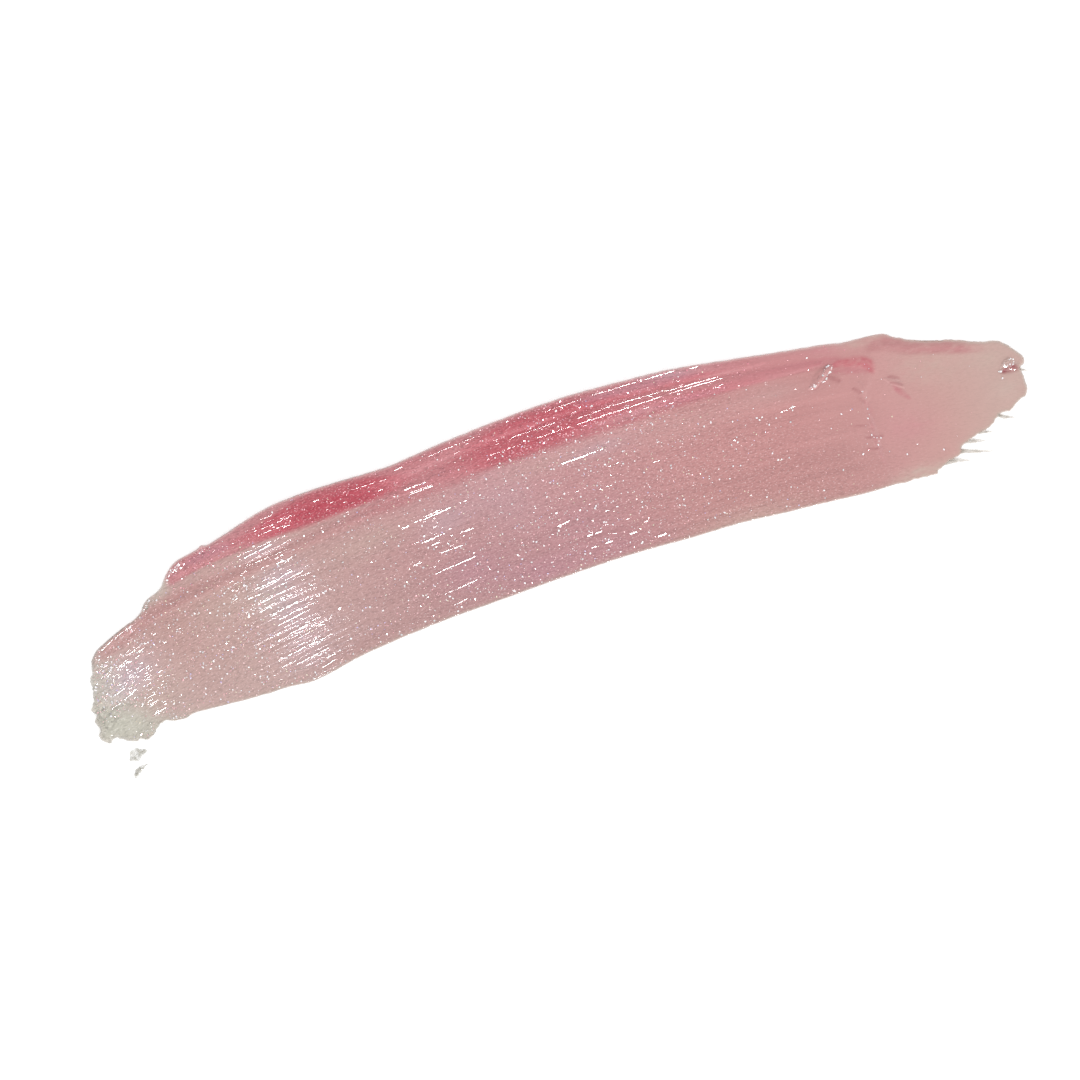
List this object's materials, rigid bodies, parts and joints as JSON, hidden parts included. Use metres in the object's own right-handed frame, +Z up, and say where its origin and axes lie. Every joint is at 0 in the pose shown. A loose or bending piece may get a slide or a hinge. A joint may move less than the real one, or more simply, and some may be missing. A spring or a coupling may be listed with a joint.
{
  "type": "lip gloss smear",
  "caption": "Sheer shimmering pink lip gloss smear: a flat curved stroke of thin films with raised beads, streaks, wisps and crumbs, lying on its flat underside.",
  "frame": {"origin": "on the flat underside, below the middle of the whole footprint", "axes": "+X along the stroke, from where the applicator set down to where it lifted, +Y towards the thick beaded edge, +Z up from the surface"},
  "size_m": [0.06, 0.0134, 0.0009],
  "materials": {
    "clear_gloss": "wet clear gloss, almost no pigment, dense fine glitter",
    "sheer_gloss": "wet sheer rose gloss with fine glitter",
    "tail_gloss": "thin satin rose gloss, little glitter",
    "deep_gloss": "wet thick rose gloss, deeply coloured",
    "streak_gloss": "wet rose gloss, slightly raised"
  },
  "bodies": {
    "root": {"clear_tip": "clear_gloss", "sheer_film": "sheer_gloss", "tail_film": "tail_gloss", "outer_bead": "deep_gloss", "inner_bead": "deep_gloss", "rose_streak": "streak_gloss", "start_rim": "streak_gloss", "fold_ridge": "streak_gloss", "lap_ridge": "streak_gloss", "drag_mark": "streak_gloss", "tail_streak": "streak_gloss", "pigment_pool": "deep_gloss", "pigment_spot": "deep_gloss", "edge_nub": "streak_gloss", "wisp_1": "tail_gloss", "wisp_2": "tail_gloss", "wisp_3": "tail_gloss", "wisp_4": "tail_gloss", "wisp_5": "tail_gloss", "wisp_6": "tail_gloss", "crumb_1": "clear_gloss", "crumb_2": "clear_gloss"}
  },
  "joints": []
}
